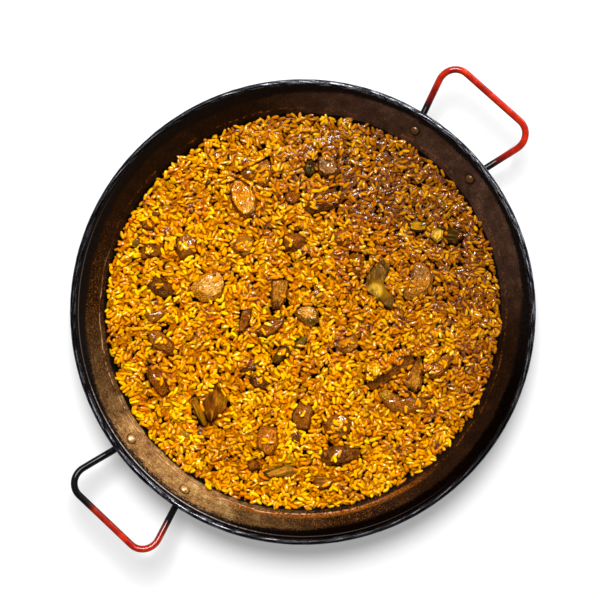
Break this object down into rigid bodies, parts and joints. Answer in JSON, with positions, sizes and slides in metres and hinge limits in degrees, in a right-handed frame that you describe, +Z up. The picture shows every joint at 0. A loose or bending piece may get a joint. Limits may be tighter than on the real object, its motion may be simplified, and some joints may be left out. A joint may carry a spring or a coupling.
{
  "type": "rice with pork",
  "caption": "Wide shallow steel pan with two bent rod handles, filled with a bed of yellow rice and browned chunks of pork and artichoke.",
  "frame": {"origin": "on the ground under the middle of the pan", "axes": "+X from the middle of the pan towards the front handle, +Z up"},
  "size_m": [0.579, 0.465, 0.0534],
  "materials": {
    "pan_steel": "blackened and browned by cooking",
    "handle_paint": "glossy red, burnt black near the pan",
    "rivet_steel": "polished",
    "rice": "moist cooked grains",
    "pork": "browned moist meat",
    "artichoke": "soft moist vegetable"
  },
  "bodies": {
    "root": {"pan": "pan_steel", "handle_front": "handle_paint", "handle_back": "handle_paint", "rivet_front_1": "rivet_steel", "rivet_front_2": "rivet_steel", "rivet_back_1": "rivet_steel", "rivet_back_2": "rivet_steel", "rice": "rice", "pork_01": "pork", "pork_02": "pork", "pork_03": "pork", "pork_04": "pork", "pork_05": "pork", "pork_06": "pork", "pork_07": "pork", "pork_08": "pork", "pork_09": "pork", "pork_10": "pork", "pork_11": "pork", "pork_12": "pork", "pork_13": "pork", "pork_14": "pork", "pork_15": "pork", "pork_16": "pork", "pork_17": "pork", "pork_18": "pork", "pork_19": "pork", "pork_20": "pork", "pork_21": "pork", "pork_22": "pork", "pork_23": "pork", "pork_24": "pork", "pork_25": "pork", "pork_26": "pork", "pork_27": "pork", "pork_28": "pork", "pork_29": "pork", "pork_30": "pork", "pork_31": "pork", "pork_32": "pork", "artichoke_01": "artichoke", "artichoke_02": "artichoke", "artichoke_03": "artichoke", "artichoke_04": "artichoke", "artichoke_05": "artichoke", "artichoke_06": "artichoke", "artichoke_07": "artichoke", "artichoke_08": "artichoke", "artichoke_09": "artichoke", "artichoke_10": "artichoke", "artichoke_11": "artichoke"}
  },
  "joints": []
}
